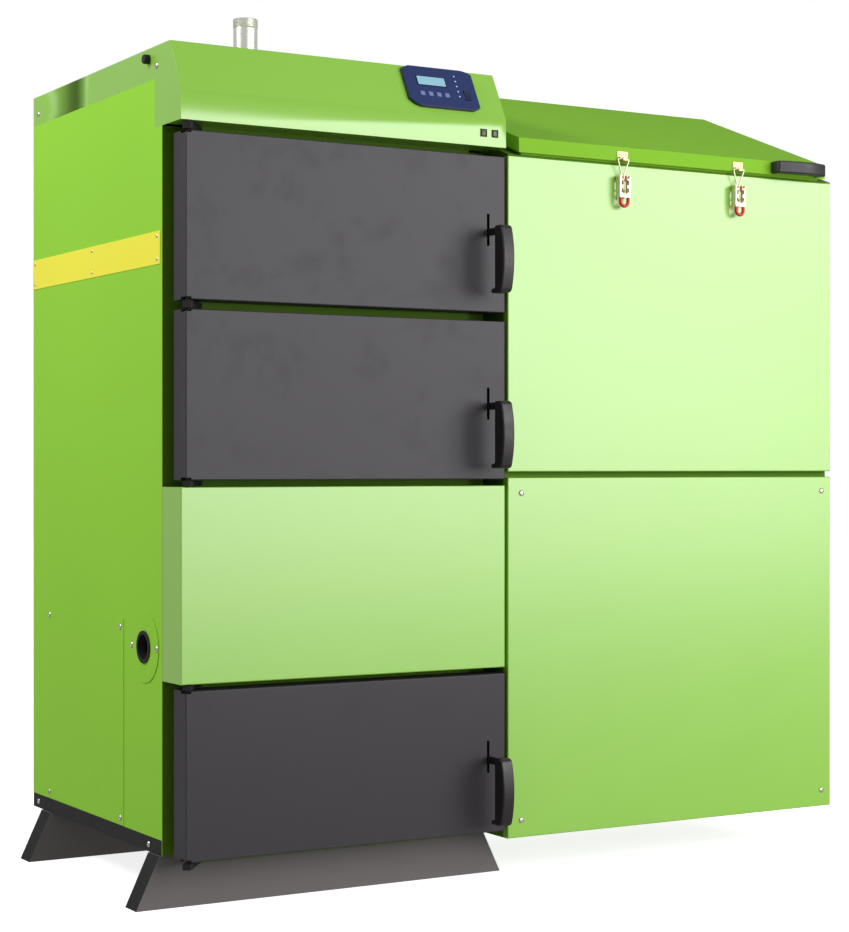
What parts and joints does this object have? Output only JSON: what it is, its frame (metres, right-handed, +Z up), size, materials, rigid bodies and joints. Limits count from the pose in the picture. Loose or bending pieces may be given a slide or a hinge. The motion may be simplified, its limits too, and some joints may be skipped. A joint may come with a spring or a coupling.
{
  "type": "pellet boiler",
  "caption": "Free-standing pellet boiler: insulated steel body with stacked swing doors and sloped control console, beside a pellet hopper with a latched sloping lid.",
  "frame": {"origin": "middle of the bounding box's footprint, on the floor", "axes": "+X to the right along the front, +Y from the doors to the flue, +Z up"},
  "size_m": [1.338, 0.785, 1.478],
  "materials": {
    "bare_steel": "plain rolled steel",
    "black_plastic": "fine-grained black plastic",
    "black_steel": "black lacquered steel",
    "cast": "rough cast iron",
    "door_grey": "matt dark grey powder coat",
    "foot_grey": "matt dark grey powder coat",
    "galvanised": "galvanised sheet",
    "green_front": "satin green powder coat",
    "green_side": "satin green powder coat, gradient lit",
    "panel_blue": "blue panel plastic",
    "panel_glass": "pale display foil",
    "pipe_steel": "bright drawn pipe",
    "rubber_black": "soft black rubber",
    "strip_yellow": "plain yellow strip",
    "wool": "mineral fibre",
    "zinc": "bright zinc plate"
  },
  "bodies": {
    "boiler": {"boiler_body": "bare_steel", "front_frame": "green_side", "side_panel_left": "green_side", "side_panel_right": "green_side", "rear_panel": "green_side", "top_cover": "green_side", "burner_cover": "green_front", "base_rails": "foot_grey", "feet": "foot_grey", "hinge_lugs": "zinc", "door_keepers": "zinc", "retort": "cast", "air_box": "bare_steel", "feeder_tube": "bare_steel", "gear_motor": "black_steel", "fan_housing": "galvanised", "ash_pan": "galvanised", "flow_pipe": "pipe_steel", "rear_pipes": "pipe_steel", "flue_spigot": "black_steel", "panel_housing": "panel_blue", "panel_window": "panel_glass", "hopper_casing": "green_front", "hopper_upper_panel": "green_front", "hopper_lower_panel": "green_front", "hopper_funnel": "galvanised", "hopper_studs": "zinc", "side_strip": "strip_yellow", "strip_rivets": "zinc", "service_plate": "green_side", "blanking_disc": "green_side", "disc_grommet": "rubber_black", "skirt_cap": "rubber_black", "cover_screws": "zinc", "lid_hinge": "zinc", "latch_bases": "zinc"},
    "door_1": {"door_1_skin": "door_grey", "door_1_liner": "wool"},
    "door_2": {"door_2_skin": "door_grey", "door_2_liner": "wool"},
    "door_3": {"door_3_skin": "door_grey", "door_3_liner": "wool"},
    "door_lever_1": {"door_1_arm": "black_steel", "door_1_grip": "black_plastic"},
    "door_lever_2": {"door_2_arm": "black_steel", "door_2_grip": "black_plastic"},
    "door_lever_3": {"door_3_arm": "black_steel", "door_3_grip": "black_plastic"},
    "lid": {"hopper_lid": "green_side", "lid_catches": "zinc", "lid_handle": "black_plastic"},
    "auger": {"auger_screw": "bare_steel"},
    "blower_wheel": {"fan_impeller": "galvanised"},
    "power_switch": {"power_rocker": "black_plastic"},
    "button_1": {"fascia_button_1": "black_plastic"},
    "button_2": {"fascia_button_2": "black_plastic"},
    "latch_1": {"latch_lever_1": "zinc"},
    "latch_2": {"latch_lever_2": "zinc"},
    "loop_1": {"latch_loop_1": "zinc"},
    "loop_2": {"latch_loop_2": "zinc"}
  },
  "joints": [
    {"name": "door_1_hinge", "type": "hinge", "parent": "boiler", "child": "door_1", "pos_m": [-0.611, -0.3185, 0.947], "axis": [0, 0, -1], "range_deg": [0, 110]},
    {"name": "door_1_lever_pivot", "type": "hinge", "parent": "door_1", "child": "door_lever_1", "pos_m": [-0.073, -0.3015, 1.079], "axis": [-1, 0, 0], "range_deg": [0, 35]},
    {"name": "door_2_hinge", "type": "hinge", "parent": "boiler", "child": "door_2", "pos_m": [-0.611, -0.3185, 0.6695], "axis": [0, 0, -1], "range_deg": [0, 110]},
    {"name": "door_2_lever_pivot", "type": "hinge", "parent": "door_2", "child": "door_lever_2", "pos_m": [-0.073, -0.3015, 0.7905], "axis": [-1, 0, 0], "range_deg": [0, 35]},
    {"name": "door_3_hinge", "type": "hinge", "parent": "boiler", "child": "door_3", "pos_m": [-0.611, -0.3185, 0.083], "axis": [0, 0, -1], "range_deg": [0, 110]},
    {"name": "door_3_lever_pivot", "type": "hinge", "parent": "door_3", "child": "door_lever_3", "pos_m": [-0.073, -0.3015, 0.204], "axis": [-1, 0, 0], "range_deg": [0, 35]},
    {"name": "lid_hinge", "type": "hinge", "parent": "boiler", "child": "lid", "pos_m": [0.3175, 0.029, 1.35421], "axis": [-1, 0, 0], "range_deg": [0, 75]},
    {"name": "latch_1_pivot", "type": "hinge", "parent": "boiler", "child": "latch_1", "pos_m": [0.1955, -0.3355, 1.18642], "axis": [-1, 0, 0], "range_deg": [0, 90]},
    {"name": "loop_1_pivot", "type": "hinge", "parent": "latch_1", "child": "loop_1", "pos_m": [0.1955, -0.3327, 1.16642], "axis": [-1, 0, 0], "range_deg": [-63.9, 0]},
    {"name": "latch_2_pivot", "type": "hinge", "parent": "boiler", "child": "latch_2", "pos_m": [0.4475, -0.3355, 1.18642], "axis": [-1, 0, 0], "range_deg": [0, 90]},
    {"name": "loop_2_pivot", "type": "hinge", "parent": "latch_2", "child": "loop_2", "pos_m": [0.4475, -0.3327, 1.16642], "axis": [-1, 0, 0], "range_deg": [-63.9, 0]},
    {"name": "auger_spin", "type": "hinge", "parent": "boiler", "child": "auger", "pos_m": [0.073, -0.1865, 0.4045], "axis": [1, 0, 0], "continuous": true},
    {"name": "blower_spin", "type": "hinge", "parent": "boiler", "child": "blower_wheel", "pos_m": [0.073, -0.1865, 0.545], "axis": [0, 1, 0], "continuous": true},
    {"name": "power_switch_tilt", "type": "hinge", "parent": "boiler", "child": "power_switch", "pos_m": [-0.106, -0.31274, 1.30362], "axis": [-1, 0, 0], "range_deg": [0, 14]},
    {"name": "button_1_press", "type": "slide", "parent": "boiler", "child": "button_1", "axis": [0, 1, 0], "range_m": [0, 0.002], "stiffness_N_per_m": 400},
    {"name": "button_2_press", "type": "slide", "parent": "boiler", "child": "button_2", "axis": [0, 1, 0], "range_m": [0, 0.002], "stiffness_N_per_m": 400}
  ],
  "couplings": [
    {"joint": "loop_1_pivot", "follows": "latch_1_pivot", "ratio": -0.71},
    {"joint": "loop_2_pivot", "follows": "latch_2_pivot", "ratio": -0.71}
  ]
}
